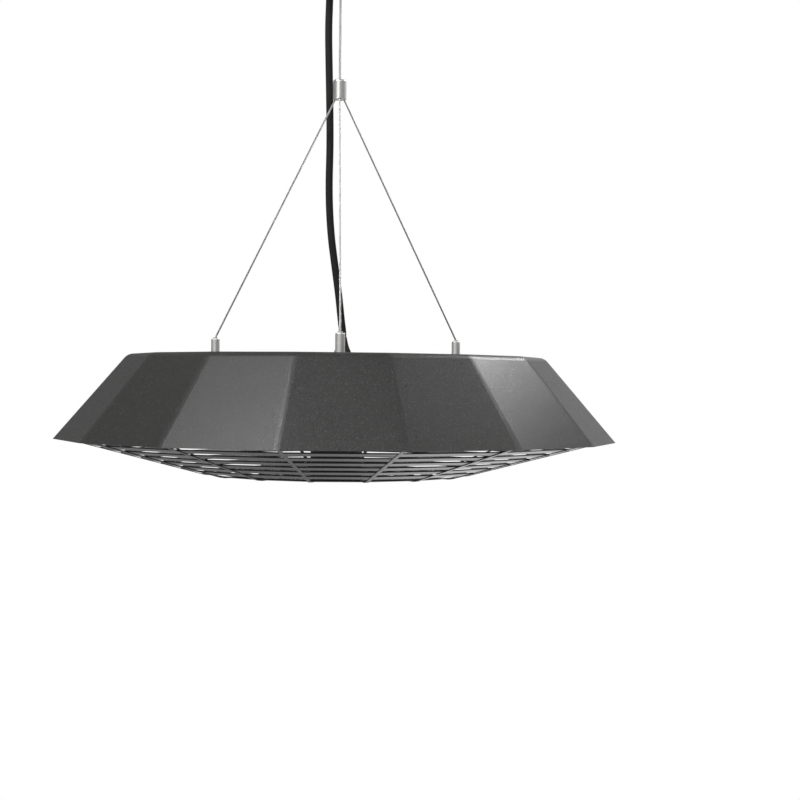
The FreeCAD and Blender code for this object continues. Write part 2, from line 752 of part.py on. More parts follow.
def heating_path(ring_r):
    """Down from one cap, round the ring and up into the other cap."""
    reach = math.hypot(ring_r, TUBE_BEND)
    start_turn = math.atan2(TUBE_BEND, ring_r) + math.asin(TUBE_END_X / reach)
    level = rim(TUBE_H)
    short = TUBE_BEND * (1 - math.sqrt(0.5))
    ends = []
    for side, (x, y) in zip((-1, 1), tube_ends(ring_r)):
        along = Vec(side * math.cos(start_turn), -math.sin(start_turn), 0)
        cap = Vec(x, y, rim(CAP_SEAT_H))
        top = Vec(x, y, level + TUBE_BEND)
        middle = Vec(x, y, level) + along * short + UP * short
        ends.append((cap, top, middle, Vec(x, y, level) + along * TUBE_BEND))
    left, right = ends
    return Part.Wire([
        Part.LineSegment(left[0], left[1]).toShape(),
        Part.Arc(left[1], left[2], left[3]).toShape(),
        Part.Arc(left[3], Vec(0, -ring_r, level), right[3]).toShape(),
        Part.Arc(right[3], right[2], right[1]).toShape(),
        Part.LineSegment(right[1], right[0]).toShape(),
    ])


def heating_tubes():
    filaments = []
    for name, ring_r in TUBE_RINGS.items():
        path = heating_path(ring_r)
        glass = swept(path, TUBE_R)
        report_sweep(name + "_heating_tube", glass, path, TUBE_R, [TUBE_BEND])
        save(name + "_heating_tube", glass.cut(swept(path, TUBE_R - TUBE_T)))
        filaments.append(swept(path, FILAMENT_R))
    save("filaments", *filaments)


def tube_caps():
    caps = []
    for ring_r in TUBE_RINGS.values():
        for x, y in tube_ends(ring_r):
            cap = cylinder(CAP_R, rim(CAP_LOW_H), rim(CAP_TOP_H), x, y)
            flange_low = rim(REFL_TOP_H)
            cap = cap.fuse(cylinder(CAP_FLANGE_R, flange_low, flange_low + CAP_FLANGE_T, x, y))
            cap = cap.cut(cylinder(TUBE_R + FIT, rim(CAP_LOW_H), rim(CAP_SEAT_H), x, y))
            caps.append(cap.removeSplitter())
    save("tube_caps", *caps)


def tube_clip(ring_r):
    """Spring clip round the tube, on a strap from the reflector, at angle 0."""
    centre = Vec(ring_r, -CLIP_W / 2, rim(TUBE_H))
    along = Vec(0, 1, 0)
    loop = Part.makeCylinder(TUBE_R + FIT + CLIP_WALL, CLIP_W, centre, along)
    roof = rim(REFL_TOP_H) - REFL_T
    strap = box((CLIP_WALL, CLIP_W, roof - rim(TUBE_H)), (ring_r, 0), rim(TUBE_H))
    foot = box((CLIP_FOOT, CLIP_W, CLIP_WALL), (ring_r, 0), roof - CLIP_WALL)
    clip = loop.fuse([strap, foot])
    return clip.cut(Part.makeCylinder(TUBE_R + FIT, CLIP_W, centre, along)).removeSplitter()


def tube_clips():
    clips = []
    for ring_r in TUBE_RINGS.values():
        clips += [spun(tube_clip(ring_r), angle) for angle in CLIP_ANGLES]
    save("tube_clips", *clips)


# Light and receiver pod

def pod():
    top = rim(REFL_TOP_H) - REFL_T
    low = rim(POD_LOW_H)
    board_low = low + LIGHT_BOARD_UP
    board_top = board_low + LIGHT_BOARD_T
    bore = POD_R - POD_T
    shell = cylinder(POD_R, low, top)
    shell = shell.fuse(cylinder(POD_FLANGE_R, top - POD_FLANGE_T, top))
    shell = shell.fuse(cylinder(POD_NECK_R, top, top + POD_NECK_L))
    shell = shell.cut(cylinder(bore, low, top - POD_ROOF))
    shell = shell.cut(cylinder(POD_BORE_R, top - POD_ROOF, top + POD_NECK_L))
    shell = shell.fuse(tube(bore, bore - LEDGE_W, board_top, board_top + LEDGE_T))
    save("pod_housing", shell.removeSplitter())
    nut_low = rim(REFL_TOP_H)
    nut = hexagon(2 * POD_NUT_R * math.cos(math.pi / 6), nut_low, nut_low + POD_NUT_T)
    save("pod_nut", nut.cut(cylinder(POD_NECK_R + FIT, nut_low, nut_low + POD_NUT_T)))
    chips = [cylinder(bore - FIT, board_low, board_top)]
    chip = box((LED_SIDE, LED_SIDE, LED_T), (LED_CIRCLE_R, 0), board_low - LED_T)
    chips += [spun(chip, angle) for angle in around(LEDS)]
    chips.append(box(SENSOR, (0, 0), board_low - SENSOR[2]))
    save("light_board", *chips)
    lens = cylinder(bore - FIT, low, board_low)
    lens = lens.cut(cylinder(bore - FIT - LENS_T, low + LENS_T, board_low))
    save("light_diffuser", lens.cut(cylinder(WINDOW_R + FIT, low, low + LENS_T)))
    window = cylinder(WINDOW_R, low - WINDOW_PROUD, low + LENS_T)
    seat = low + LENS_T
    window = window.fuse(cylinder(WINDOW_R + WINDOW_FLANGE, seat, seat + WINDOW_FLANGE_T))
    save("receiver_window", window.removeSplitter())


# Controls

def controls():
    floor = rim(SHIELD_TOP_H)
    board_low = floor + BOARD_UP
    board_top = board_low + BOARD[2]
    save("control_board", box(BOARD, BOARD_AT, board_low))
    reach_x = BOARD[0] / 2 - BOARD_INSET
    reach_y = BOARD[1] / 2 - BOARD_INSET
    spacers = []
    for x in (BOARD_AT[0] - reach_x, BOARD_AT[0] + reach_x):
        for y in (BOARD_AT[1] - reach_y, BOARD_AT[1] + reach_y):
            spacers.append(cylinder(BOARD_SPACER_R, floor, board_low, x, y))
    save("board_spacers", *spacers)
    offsets = [(k - (RELAYS - 1) / 2) * RELAY_PITCH for k in range(RELAYS)]
    save("relays", *[box(RELAY, (BOARD_AT[0], BOARD_AT[1] + off), board_top) for off in offsets])
    cutout = cylinder(CUTOUT_R, floor, floor + CUTOUT_H, *CUTOUT_AT)
    for side in (-1, 1):
        tab = (CUTOUT_TAB[2], CUTOUT_TAB[1], CUTOUT_TAB[0])
        spot = (CUTOUT_AT[0] + side * CUTOUT_R / 2, CUTOUT_AT[1])
        cutout = cutout.fuse(box(tab, spot, floor + CUTOUT_H))
    save("thermal_cutout", cutout.removeSplitter())
    save("element_terminal_block", terminal_block(BLOCK, (0, BLOCK_Y), floor, BLOCK_WAYS))


def leads():
    floor = rim(SHIELD_TOP_H)
    runs = []
    for ring_r in TUBE_RINGS.values():
        for x, y in tube_ends(ring_r):
            side = 1 if y > BLOCK_Y else -1
            level = floor + LEAD_UP
            block_face = Vec(x, BLOCK_Y + side * BLOCK[1] / 2, level)
            route = routed([Vec(x, y, rim(CAP_TOP_H)), Vec(x, y, level), block_face])[0]
            runs.append(swept(route, LEAD_R))
    save("element_leads", *runs)
    supply = []
    x, y = CORD_EXIT
    level = floor + SUPPLY_UP
    for k in (-1, 0, 1):
        start = Vec(x + k * SUPPLY_PITCH, y, TOP_Z - SHADE_T - BARB_L)
        block_face = Vec(start.x, BLOCK_Y - BLOCK[1] / 2, level)
        route = routed([start, Vec(start.x, y, level), block_face])[0]
        supply.append(swept(route, LEAD_R))
    save("supply_leads", *supply)
    level = floor + POD_CABLE_UP
    points = [
        Vec(0, 0, rim(POD_LOW_H) + LIGHT_BOARD_UP + LIGHT_BOARD_T),
        Vec(0, 0, level),
        Vec(POD_CABLE_X, 0, level),
        Vec(POD_CABLE_X, 0, floor + BOARD_UP + BOARD[2]),
    ]
    save("pod_cable", swept(routed(points)[0], POD_CABLE_R))


# Guard

def slope_z(radius, lift):
    """Z on the guard's slope, at a lift above the straps' outer face."""
    return rim(lift / math.cos(GUARD_SLOPE) - (GUARD_R - radius) * math.tan(GUARD_SLOPE))


def frame_z():
    return slope_z(FRAME_R, STRAP_T - WELD + FRAME_WIRE_R)


def guard_top():
    """Z of the reflector's edge, which the guard's frame wire touches from below."""
    return frame_z() + FRAME_WIRE_R


def guard_frame():
    """Closed wire ring with mitred corners."""
    path = facet_wire(FRAME_R, frame_z())
    edge = path.Edges[0]
    start = edge.valueAt(edge.FirstParameter)
    heading = edge.tangentAt(edge.FirstParameter)
    section = Part.Wire(Part.makeCircle(FRAME_WIRE_R, start, heading))
    save("guard_frame", Part.Solid(path.makePipeShell([section], True, False, 1)))


def kink(lift):
    """Where slope and flat would meet, for faces at a lift above the straps' outer face."""
    return Vec(GUARD_FLAT_R - lift * math.tan(HALF_SLOPE), 0, rim(lift - GUARD_DEPTH))


def bend_middle(lift):
    """Middle of the rounded bend between slope and flat, at a lift."""
    round_off = (GUARD_BEND - lift) * (1 / math.cos(HALF_SLOPE) - 1)
    return kink(lift) + Vec(-math.sin(HALF_SLOPE), 0, math.cos(HALF_SLOPE)) * round_off


def sloped_ring(middle, width, slope):
    """Ring of flat strip with upright edges, from the middle of its lower face at a corner."""
    slant = Vec(math.cos(slope), 0, math.sin(slope))
    inner = middle - slant * (width / 2)
    outer = middle + slant * (width / 2)
    brim = outer + slant * (2 * RING_T / slant.z)
    dish = pyramid(inner.x, inner.z, brim.x, brim.z)
    above = dish.translated(UP * (RING_T / slant.x))
    hole = facet_prism(inner.x, inner.z, brim.z)
    return dish.cut([above, hole]).common(facet_prism(outer.x, inner.z, brim.z))


def level_ring(middle_r, low):
    high = low + RING_T
    return facet_prism(middle_r + RING_W / 2, low, high).cut(facet_prism(middle_r - RING_W / 2, low, high))


def guard_rings():
    """Rings outwards and inwards from one that lies in the straps' bend."""
    lift = STRAP_T - WELD
    sag = (EDGE_RING_W / 2) ** 2 / (2 * GUARD_BEND)
    edge = bend_middle(lift + sag)
    steps_out = round((FRAME_R - edge.x) / RING_PITCH)
    steps_in = round((edge.x - HUB_R) / RING_PITCH)
    side = [edge.x + RING_PITCH * k for k in range(1, steps_out)]
    flat = [edge.x - RING_PITCH * k for k in range(1, steps_in)] + [HUB_R]
    save("guard_side_rings", *[sloped_ring(Vec(r, 0, slope_z(r, lift)), RING_W, GUARD_SLOPE) for r in side])
    save("guard_floor_rings", sloped_ring(edge, EDGE_RING_W, HALF_SLOPE),
         *[level_ring(r, rim(lift - GUARD_DEPTH)) for r in flat])


def strap_side(lift):
    """A strap's outline at a lift, from its outer end over the bend to its inner end."""
    corner = kink(lift)
    slant = Vec(math.cos(GUARD_SLOPE), 0, math.sin(GUARD_SLOPE))
    tangent = (GUARD_BEND - lift) * math.tan(HALF_SLOPE)
    outer = corner + slant * ((STRAP_OUT_R - corner.x) / slant.x)
    first = corner + slant * tangent
    last = corner - Vec(tangent, 0, 0)
    inner = Vec(HUB_R - RING_W / 2, 0, corner.z)
    return [
        Part.LineSegment(outer, first).toShape(),
        Part.Arc(first, bend_middle(lift), last).toShape(),
        Part.LineSegment(last, inner).toShape(),
    ]


def guard_straps():
    """Flat straps across the outside of the rings, one at each corner, bent once."""
    low = strap_side(0.0)
    high = strap_side(STRAP_T)
    ends = [Part.LineSegment(low[k].Vertexes[k].Point, high[k].Vertexes[k].Point).toShape() for k in (0, -1)]
    outline = Part.Wire(Part.__sortEdges__(low + high + ends))
    strap = Part.Face(outline).extrude(Vec(0, STRAP_W, 0)).translated(Vec(0, -STRAP_W / 2, 0))
    save("guard_straps", *[spun(strap, angle) for angle in around(SIDES, math.degrees(HALF_SIDE))])


def clip_seat():
    """Distance from the axis, square to a side, of the guard screws."""
    return FRAME_R * math.cos(HALF_SIDE) - FRAME_WIRE_R - GUARD_CLIP_T - GUARD_CLIP_FOOT / 2


def guard_screw_spots():
    spots = [at(clip_seat(), angle, 0) for angle in around(CLIP_COUNT, FRONT)]
    return [(p.x, p.y) for p in spots]


def guard_clips():
    top = guard_top()
    frame_side = FRAME_R * math.cos(HALF_SIDE)
    riser = frame_side - FRAME_WIRE_R - GUARD_CLIP_T - FIT
    under = top - 2 * FRAME_WIRE_R - FIT
    half = GUARD_CLIP_W / 2
    foot = Part.makeBox(GUARD_CLIP_FOOT, GUARD_CLIP_W, GUARD_CLIP_T,
                        Vec(riser - GUARD_CLIP_FOOT, -half, top - GUARD_CLIP_T))
    wall = Part.makeBox(GUARD_CLIP_T, GUARD_CLIP_W, top - under + GUARD_CLIP_T,
                        Vec(riser, -half, under - GUARD_CLIP_T))
    lip = Part.makeBox(GUARD_CLIP_LIP, GUARD_CLIP_W, GUARD_CLIP_T,
                       Vec(riser, -half, under - GUARD_CLIP_T))
    clip = foot.fuse([wall, lip])
    low = top - GUARD_CLIP_T
    clip = clip.cut(cylinder(SCREW_R + FIT, low, top, clip_seat(), 0)).removeSplitter()
    high = top + REFL_T
    screw = cylinder(SCREW_R, low, high + SCREW_NUT_H + SCREW_TAIL, clip_seat(), 0)
    head = cylinder(SCREW_HEAD_R, low - SCREW_HEAD_T, low, clip_seat(), 0)
    head = head.makeFillet(SCREW_HEAD_T / 2, level_edges(head, low - SCREW_HEAD_T))
    screw = screw.fuse(head).removeSplitter()
    nut = hexagon(SCREW_NUT_AF, high, high + SCREW_NUT_H, clip_seat(), 0)
    nut = nut.cut(cylinder(SCREW_R + FIT / 2, high, high + SCREW_NUT_H, clip_seat(), 0))
    angles = around(CLIP_COUNT, FRONT)
    save("guard_clips", *[spun(clip, a) for a in angles])
    save("guard_screws", *[spun(screw, a) for a in angles])
    save("guard_nuts", *[spun(nut, a) for a in angles])


os.makedirs("parts", exist_ok=True)
ceiling_bracket()
canopy_cup()
hanger_fork()
fork_pin()
ceiling_terminal_block()
eye_terminal()
main_wire()
coupler()
bridle_wires()
grippers()
power_cord()
shade()
reflector()
heat_shield()
studs_and_spacers()
heating_tubes()
tube_caps()
tube_clips()
pod()
controls()
leads()
guard_frame()
guard_rings()
guard_straps()
guard_clips()
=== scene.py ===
import math

import bmesh
import bpy
from mathutils import Matrix, Vector


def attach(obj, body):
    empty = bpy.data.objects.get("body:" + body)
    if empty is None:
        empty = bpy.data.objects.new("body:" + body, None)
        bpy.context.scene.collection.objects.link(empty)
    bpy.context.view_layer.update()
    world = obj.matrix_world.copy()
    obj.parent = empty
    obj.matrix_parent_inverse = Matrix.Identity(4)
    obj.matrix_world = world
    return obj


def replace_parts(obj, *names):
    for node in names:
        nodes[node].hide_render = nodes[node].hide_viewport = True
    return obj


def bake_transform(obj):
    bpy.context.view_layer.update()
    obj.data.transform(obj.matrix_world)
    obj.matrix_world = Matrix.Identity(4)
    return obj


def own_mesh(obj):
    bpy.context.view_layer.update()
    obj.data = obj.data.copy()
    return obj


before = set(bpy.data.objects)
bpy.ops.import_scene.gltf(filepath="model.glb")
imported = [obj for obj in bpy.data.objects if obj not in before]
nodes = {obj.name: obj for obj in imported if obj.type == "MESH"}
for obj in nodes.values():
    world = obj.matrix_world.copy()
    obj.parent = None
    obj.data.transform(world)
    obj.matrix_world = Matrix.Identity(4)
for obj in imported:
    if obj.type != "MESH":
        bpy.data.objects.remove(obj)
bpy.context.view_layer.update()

# Levels and places shared with the solids, in metres
TOP_Z = -0.470
RIM_Z = -0.5593
CANOPY_LOW_Z = -0.0343
COUPLER_Z = -0.192
GRIPPER_CIRCLE_R = 0.158
GRIPPER_ANGLES = {"front": -90.0, "right": 30.0, "left": 150.0}

# Camera, fitted to the shade's rim, top edge, ropes and coupler, with its turns in degrees
EYE = Vector((-0.0262, -1.5686, -0.4999))
LENS = 65.0
SENSOR_W = 36
HEADING = 3.46
PITCH = 0.61
ROLL = 0.57


# Node trees

class Signal:
    """A socket's value in a node tree. Arithmetic on it adds Math nodes."""

    def __init__(self, tree, socket=None):
        self.tree = tree
        self.socket = socket

    def node(self, kind, settings=None, sockets=None, out=0):
        """Adds a node to the tree: its type, its settings, then its sockets' values or links."""
        made = self.tree.nodes.new(kind)
        for name, value in (settings or {}).items():
            setattr(made, name, value)
        for name, value in (sockets or {}).items():
            if isinstance(value, Signal):
                self.tree.links.new(value.socket, made.inputs[name])
            else:
                made.inputs[name].default_value = value
        return Signal(self.tree, made.outputs[out] if made.outputs else None)

    def maths(self, operation, first, second):
        return self.node("ShaderNodeMath", {"operation": operation}, {0: first, 1: second})

    def __add__(self, other):
        return self.maths("ADD", self, other)

    def __mul__(self, other):
        return self.maths("MULTIPLY", self, other)

    def __rsub__(self, other):
        return self.maths("SUBTRACT", other, self)

    __radd__ = __add__
    __rmul__ = __mul__


def blank(name):
    """A new material and its empty tree."""
    material = bpy.data.materials.new(name)
    material.use_nodes = True
    material.node_tree.nodes.clear()
    return material, Signal(material.node_tree)


def place(tree, scale=None):
    """Object coordinates in metres, stretched where a pattern has a grain."""
    where = tree.node("ShaderNodeTexCoord", out="Object")
    if scale is None:
        return where
    return tree.node("ShaderNodeMapping", sockets={"Vector": where, "Scale": scale})


def noise(tree, where, scale, detail=2.0, rough=0.5):
    sockets = {"Vector": where, "Scale": scale, "Detail": detail, "Roughness": rough}
    return tree.node("ShaderNodeTexNoise", sockets=sockets)


def band(tree, value, low, high):
    """0 below low, 1 above high."""
    return tree.node("ShaderNodeMapRange", {"interpolation_type": "SMOOTHSTEP"},
                     {"Value": value, "From Min": low, "From Max": high})


def along(tree, way, axis):
    """How far a place or a direction goes along an axis."""
    return tree.node("ShaderNodeVectorMath", {"operation": "DOT_PRODUCT"},
                     {0: way, 1: axis}, out="Value")


def tint(tree, share, first, second):
    """A colour between two, by share."""
    return tree.node("ShaderNodeMix", {"data_type": "RGBA"},
                     {0: share, 6: first, 7: second}, out=2)


def bump(tree, height, depth):
    sockets = {"Height": height, "Strength": 1.0, "Distance": depth}
    return tree.node("ShaderNodeBump", sockets=sockets)


def surface(tree, **sockets):
    """The material's shader, with underscores for the spaces in its sockets' names."""
    named = {name.replace("_", " "): value for name, value in sockets.items()}
    shader = tree.node("ShaderNodeBsdfPrincipled", sockets=named)
    tree.node("ShaderNodeOutputMaterial", sockets={"Surface": shader})


def grey(value, warm=0.0):
    return (value * (1 + warm), value * (1 + warm / 2), value * (1 - warm), 1.0)


# Finishes

def sand_coat():
    """Dark grey powder coat with a fine sand grain and light flecks."""
    material, tree = blank("sand_coat")
    where = place(tree)
    sand = noise(tree, where, 720, 3.0, 0.6)
    grain = noise(tree, where, 800, 0.0)
    cloud = noise(tree, where, 14, 3.0)
    fleck = band(tree, noise(tree, where, 1150, 1.0), 0.66, 0.74)
    ground = tint(tree, cloud, grey(0.017, 0.02), grey(0.021, 0.03))
    surface(
        tree,
        Base_Color=tint(tree, 0.75 * fleck, ground, grey(0.16, 0.02)),
        Roughness=0.16 + 0.40 * grain + 0.06 * cloud,
        Normal=bump(tree, 0.3 * grain + 0.6 * sand + 0.5 * fleck, 0.00018),
    )
    return material


def guard_coat():
    """Glossy black coat on the guard's flat steel, a little thicker where it sagged."""
    material, tree = blank("guard_coat")
    where = place(tree)
    sag = noise(tree, where, 55)
    peel = noise(tree, where, 900)
    surface(
        tree,
        Base_Color=tint(tree, sag, grey(0.010, 0.02), grey(0.016, 0.02)),
        Roughness=0.14 + 0.10 * sag,
        Normal=bump(tree, sag + 0.2 * peel, 0.00006),
    )
    return material


def turned_nickel(name, dark, light, rough):
    """Turned and plated: fine rings round each piece."""
    material, tree = blank(name)
    rings = noise(tree, place(tree, (60, 60, 4200)), 1.0)
    cloud = noise(tree, place(tree), 160)
    surface(
        tree,
        Base_Color=tint(tree, cloud, grey(dark, 0.015), grey(light, 0.015)),
        Metallic=1.0,
        Roughness=rough + 0.16 * rings,
        Normal=bump(tree, rings, 0.00003),
    )
    return material


def rope_wire():
    """Drawn steel wire, dulled here and there."""
    material, tree = blank("rope_wire")
    draw = noise(tree, place(tree), 1900)
    dull = noise(tree, place(tree), 90)
    surface(
        tree,
        Base_Color=tint(tree, dull, grey(0.50, 0.01), grey(0.62, 0.01)),
        Metallic=1.0,
        Roughness=0.50 + 0.14 * draw,
    )
    return material


def zinc_plate():
    """Zinc plate with a faint spangle."""
    material, tree = blank("zinc_plate")
    spangle = tree.node("ShaderNodeTexVoronoi", sockets={"Vector": place(tree), "Scale": 130},
                        out="Color")
    level = tree.node("ShaderNodeRGBToBW", sockets={"Color": spangle})
    scuff = noise(tree, place(tree), 700, 3.0)
    surface(
        tree,
        Base_Color=tint(tree, level, (0.50, 0.51, 0.53, 1), (0.60, 0.61, 0.62, 1)),
        Metallic=1.0,
        Roughness=0.30 + 0.10 * level + 0.10 * scuff,
        Normal=bump(tree, scuff, 0.00002),
    )
    return material


def bright_reflector():
    """Polished sheet with the slight waves that pressing leaves."""
    material, tree = blank("bright_reflector")
    wave = noise(tree, place(tree), 26, 1.0)
    haze = noise(tree, place(tree), 320)
    surface(
        tree,
        Base_Color=tint(tree, haze, (0.84, 0.84, 0.83, 1), (0.90, 0.90, 0.89, 1)),
        Metallic=1.0,
        Roughness=0.12 + 0.10 * haze,
        Normal=bump(tree, wave, 0.0009),
    )
    return material


def quartz():
    """Clear quartz tube with faint draw lines."""
    material, tree = blank("quartz")
    lines = noise(tree, place(tree, (1, 1, 30)), 60)
    surface(
        tree,
        Base_Color=(0.96, 0.97, 0.98, 1),
        Roughness=0.02 + 0.05 * lines,
        Transmission_Weight=1.0,
        IOR=1.46,
    )
    return material


def heating_wire():
    """Resistance wire with a dark oxide skin."""
    material, tree = blank("heating_wire")
    oxide = noise(tree, place(tree), 480, 3.0)
    surface(
        tree,
        Base_Color=tint(tree, oxide, (0.10, 0.085, 0.075, 1), (0.26, 0.23, 0.20, 1)),
        Metallic=0.8,
        Roughness=0.38 + 0.25 * oxide,
    )
    return material


def steatite():
    """Unglazed ceramic, chalky with faint specks."""
    material, tree = blank("steatite")
    chalk = noise(tree, place(tree), 900, 3.0)
    speck = band(tree, noise(tree, place(tree), 520, 1.0), 0.68, 0.74)
    ground = tint(tree, chalk, (0.76, 0.73, 0.67, 1), (0.84, 0.82, 0.77, 1))
    surface(
        tree,
        Base_Color=tint(tree, 0.5 * speck, ground, (0.45, 0.40, 0.34, 1)),
        Roughness=0.55 + 0.2 * chalk,
        Normal=bump(tree, chalk, 0.00006),
    )
    return material


def cord_rubber():
    """Black outdoor rubber sheath, slightly dusty and smooth from drawing."""
    material, tree = blank("cord_rubber")
    dust = noise(tree, place(tree), 75, 3.0)
    skin = noise(tree, place(tree, (1, 1, 0.25)), 1400)
    surface(
        tree,
        Base_Color=tint(tree, dust, grey(0.019), grey(0.028, 0.02)),
        Roughness=0.56 + 0.16 * skin + 0.08 * dust,
        Specular_IOR_Level=0.06,
        Normal=bump(tree, skin, 0.00005),
    )
    return material


def moulded(name, dark, light, rough, grain):
    """Moulded plastic with a spark-eroded grain."""
    material, tree = blank(name)
    pits = noise(tree, place(tree), grain, 2.0, 0.6)
    flow = noise(tree, place(tree), 28)
    surface(
        tree,
        Base_Color=tint(tree, flow, dark, light),
        Roughness=rough + 0.14 * pits,
        Normal=bump(tree, pits, 0.00005),
    )
    return material


def opal_cover():
    """Opal lamp cover with a soft satin skin."""
    material, tree = blank("opal_cover")
    milk = noise(tree, place(tree), 60)
    surface(
        tree,
        Base_Color=tint(tree, milk, (0.80, 0.80, 0.78, 1), (0.88, 0.88, 0.86, 1)),
        Roughness=0.26 + 0.1 * milk,
    )
    return material


def circuit_board():
    """Green lacquer over rows of copper tracks."""
    material, tree = blank("circuit_board")
    rows = tree.node("ShaderNodeTexBrick", {"offset": 0.35},
                     {"Vector": place(tree), "Scale": 90, "Mortar Size": 0.012}, out="Fac")
    mottle = noise(tree, place(tree), 240)
    ground = tint(tree, mottle, (0.012, 0.09, 0.035, 1), (0.02, 0.12, 0.05, 1))
    surface(
        tree,
        Base_Color=tint(tree, rows, ground, (0.05, 0.20, 0.09, 1)),
        Roughness=0.28 + 0.1 * mottle,
        Normal=bump(tree, rows, 0.00003),
    )
    return material


def woven_sleeve():
    """Glass fibre sleeving, seen as a fine cross weave."""
    material, tree = blank("woven_sleeve")
    weave = tree.node("ShaderNodeTexChecker", sockets={"Vector": place(tree), "Scale": 1300},
                      out="Fac")
    wear = noise(tree, place(tree), 200)
    worn = 0.6 * weave + 0.4 * wear
    surface(
        tree,
        Base_Color=tint(tree, worn, (0.46, 0.44, 0.40, 1), (0.66, 0.64, 0.60, 1)),
        Roughness=0.7 + 0.15 * wear,
        Normal=bump(tree, weave, 0.00008),
    )
    return material


FINISHES = [
    (sand_coat(), ["shade", "canopy_cup"]),
    (guard_coat(), [
        "guard_frame", "guard_straps", "guard_side_rings", "guard_floor_rings", "guard_clips",
    ]),
    (turned_nickel("bright_nickel", 0.66, 0.74, 0.30), ["coupler_body", "coupler_cap"]),
    (turned_nickel("satin_nickel", 0.67, 0.75, 0.50), [
        "hanger_fork", "fork_pin", "pin_clip", "eye_terminal", "coupler_stops",
        "gripper_sleeve_front", "gripper_sleeve_left", "gripper_sleeve_right",
        "gripper_plunger_front", "gripper_plunger_left", "gripper_plunger_right",
        "gripper_stems", "gripper_nuts",
    ]),
    (zinc_plate(), [
        "ceiling_bracket", "mounting_studs", "upper_spacers", "lower_spacers", "heat_shield",
        "reflector_nuts", "guard_screws", "guard_nuts", "tube_clips",
    ]),
    (bright_reflector(), ["reflector"]),
    (quartz(), ["inner_heating_tube", "outer_heating_tube"]),
    (steatite(), ["tube_caps", "element_terminal_block", "ceiling_terminal_block"]),
    (moulded("pod_mould", grey(0.022), grey(0.032), 0.46, 1500), ["pod_housing", "pod_nut"]),
    (opal_cover(), ["light_diffuser"]),
    (moulded("receiver_smoke", (0.020, 0.003, 0.004, 1), (0.030, 0.004, 0.005, 1), 0.06, 300),
     ["receiver_window"]),
    (circuit_board(), ["control_board", "light_board"]),
    (moulded("relay_case", grey(0.020), grey(0.028), 0.34, 1100),
     ["relays", "board_spacers", "thermal_cutout"]),
    (woven_sleeve(), ["element_leads", "supply_leads", "pod_cable"]),
]
CORD_RUBBER = cord_rubber()
ROPE_WIRE = rope_wire()
HEATING_WIRE = heating_wire()
for finish, names in FINISHES:
    for name in names:
        nodes[name].material_slots[0].material = finish


# Making pieces

def piece(name, mesh, finish, body=None):
    """A finished piece at the origin, with its place in its mesh."""
    made = bpy.data.objects.new(name, mesh)
    bpy.context.scene.collection.objects.link(made)
    mesh.materials.clear()
    mesh.materials.append(finish)
    mesh.polygons.foreach_set("use_smooth", [True] * len(mesh.polygons))
    if body:
        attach(made, body)
    return made


def tube_mesh(lines, radius, sides=2, kind="POLY", steps=24):
    """Round tubes along lines, as one mesh."""
    curve = bpy.data.curves.new("tube", "CURVE")
    curve.dimensions = "3D"
    curve.bevel_depth = radius
    curve.bevel_resolution = sides
    curve.use_fill_caps = radius > 0
    curve.resolution_u = steps
    for line in lines:
        spline = curve.splines.new(kind)
        spline.points.add(len(line) - 1)
        for point, spot in zip(spline.points, line):
            point.co = (*spot, 1)
        if kind == "NURBS":
            spline.order_u = 3
            spline.use_endpoint_u = True
    holder = bpy.data.objects.new("tube", curve)
    mesh = bpy.data.meshes.new_from_object(holder)
    bpy.data.objects.remove(holder)
    bpy.data.curves.remove(curve)
    return mesh


def route_points(route, steps=24):
    """Points along the smooth line that a route's points control."""
    mesh = tube_mesh([route], 0.0, kind="NURBS", steps=steps)
    points = [v.co.copy() for v in mesh.vertices]
    bpy.data.meshes.remove(mesh)
    return points


def twisted(line, radius, pitch, start):
    """A helix round a line, turned on by the distance along it."""
    side = Vector((1, 0, 0))
    run = 0.0
    helix = []
    for k, point in enumerate(line):
        ahead = line[min(k + 1, len(line) - 1)] - line[max(k - 1, 0)]
        ahead.normalize()
        side = (side - ahead * side.dot(ahead)).normalized()
        run += (point - line[k - 1]).length if k else 0.0
        turn = start + 2 * math.pi * run / pitch
        out = side * math.cos(turn) + ahead.cross(side) * math.sin(turn)
        helix.append(point + out * radius)
    return helix


def around(radius, angle, z):
    """A point at an angle about the axis, in degrees."""
    turn = math.radians(angle)
    return Vector((radius * math.cos(turn), radius * math.sin(turn), z))


# Power cord and its boots

CORD_D = 0.008
CORD_LEAD = Vector((0, 0, 0.006))
CORD_LOW = Vector((0.0062, 0.0250, -0.4420))
CORD_HIGH = Vector((-0.0113, 0.0210, -0.0543))
# Route between the boots: x, y and share of the height between the two straight runs
CORD_POINTS = [
    (0.0044, 0.0250, 0.031),
    (0.0015, 0.0247, 0.101),
    (-0.0030, 0.0241, 0.183),
    (-0.0082, 0.0231, 0.279),
    (-0.0107, 0.0220, 0.397),
    (-0.0096, 0.0214, 0.526),
    (-0.0105, 0.0210, 0.650),
    (-0.0117, 0.0212, 0.758),
    (-0.0126, 0.0210, 0.856),
    (-0.0116, 0.0210, 0.939),
]
BOOT_L = 0.022
CANOPY_BOOT_L = 0.014
BOOT_STEPS = 48
# The boots' outline: radius and share of the length
BOOT_PROFILE = [
    (0.0115, 0.0), (0.0115, 0.055), (0.0111, 0.078), (0.0101, 0.16), (0.0091, 0.27), (0.0078, 0.41),
    (0.0066, 0.56), (0.0057, 0.71), (0.0050, 0.86), (0.0047, 0.96), (0.0045, 0.99), (0.0043, 1.0),
]


